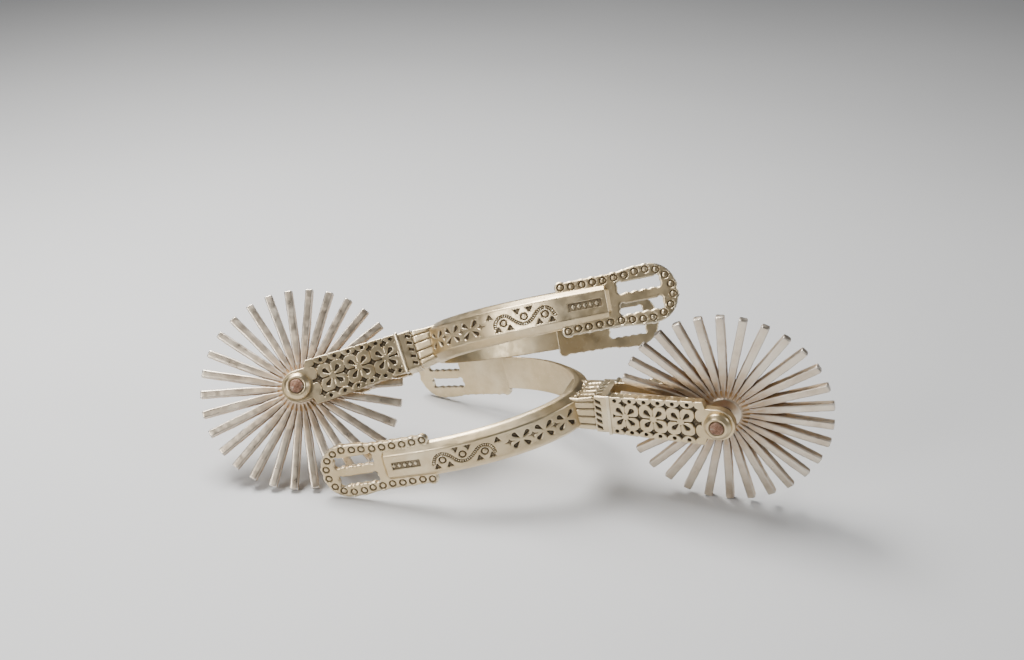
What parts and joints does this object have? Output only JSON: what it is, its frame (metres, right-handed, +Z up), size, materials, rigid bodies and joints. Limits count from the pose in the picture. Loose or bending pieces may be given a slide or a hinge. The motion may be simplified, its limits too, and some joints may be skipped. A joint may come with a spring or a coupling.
{
  "type": "pair of riding spurs",
  "caption": "Pair of long-shanked riding spurs: U-shaped ornamented heel bands, slotted strap plates and large spiked rowels that turn freely on pins in forked shanks.",
  "frame": {"origin": "middle of the pair's footprint, on the surface the pair rests on", "axes": "+Z up; X runs along the pair, from the rear spur's rowel (-X) to the front spur's rowel (+X); +Y runs from the front spur to the rear spur"},
  "size_m": [0.2858, 0.1248, 0.1108],
  "materials": {
    "white_brass": "satin cast white brass, dark in the punched ornament",
    "rowel_steel": "filed steel, brown towards the hub",
    "pin_steel": "peened steel with brown rust"
  },
  "bodies": {
    "root": {"front_heel_band": "white_brass", "front_near_strap_plate": "white_brass", "front_far_strap_plate": "white_brass", "front_rowel_fork": "white_brass", "front_rowel_pin": "pin_steel", "front_near_pin_boss": "white_brass", "front_far_pin_boss": "white_brass"},
    "front_rowel_body": {"front_rowel": "rowel_steel"},
    "rear_frame": {"rear_heel_band": "white_brass", "rear_near_strap_plate": "white_brass", "rear_far_strap_plate": "white_brass", "rear_rowel_fork": "white_brass", "rear_rowel_pin": "pin_steel", "rear_near_pin_boss": "white_brass", "rear_far_pin_boss": "white_brass"},
    "rear_rowel_body": {"rear_rowel": "rowel_steel"}
  },
  "joints": [
    {"name": "front_rowel_spin", "type": "hinge", "parent": "root", "child": "front_rowel_body", "pos_m": [0.09685, -0.04424, 0.04731], "axis": [-0.2703, -0.9587, -0.0889], "continuous": true},
    {"name": "rear_spur_lift", "type": "slide", "parent": "root", "child": "rear_frame", "axis": [0, 0.7071, 0.7071], "range_m": [0, 0.15]},
    {"name": "rear_rowel_spin", "type": "hinge", "parent": "rear_frame", "child": "rear_rowel_body", "pos_m": [-0.09544, -0.00771, 0.03832], "axis": [0.0162, 0.7873, -0.6164], "continuous": true}
  ]
}
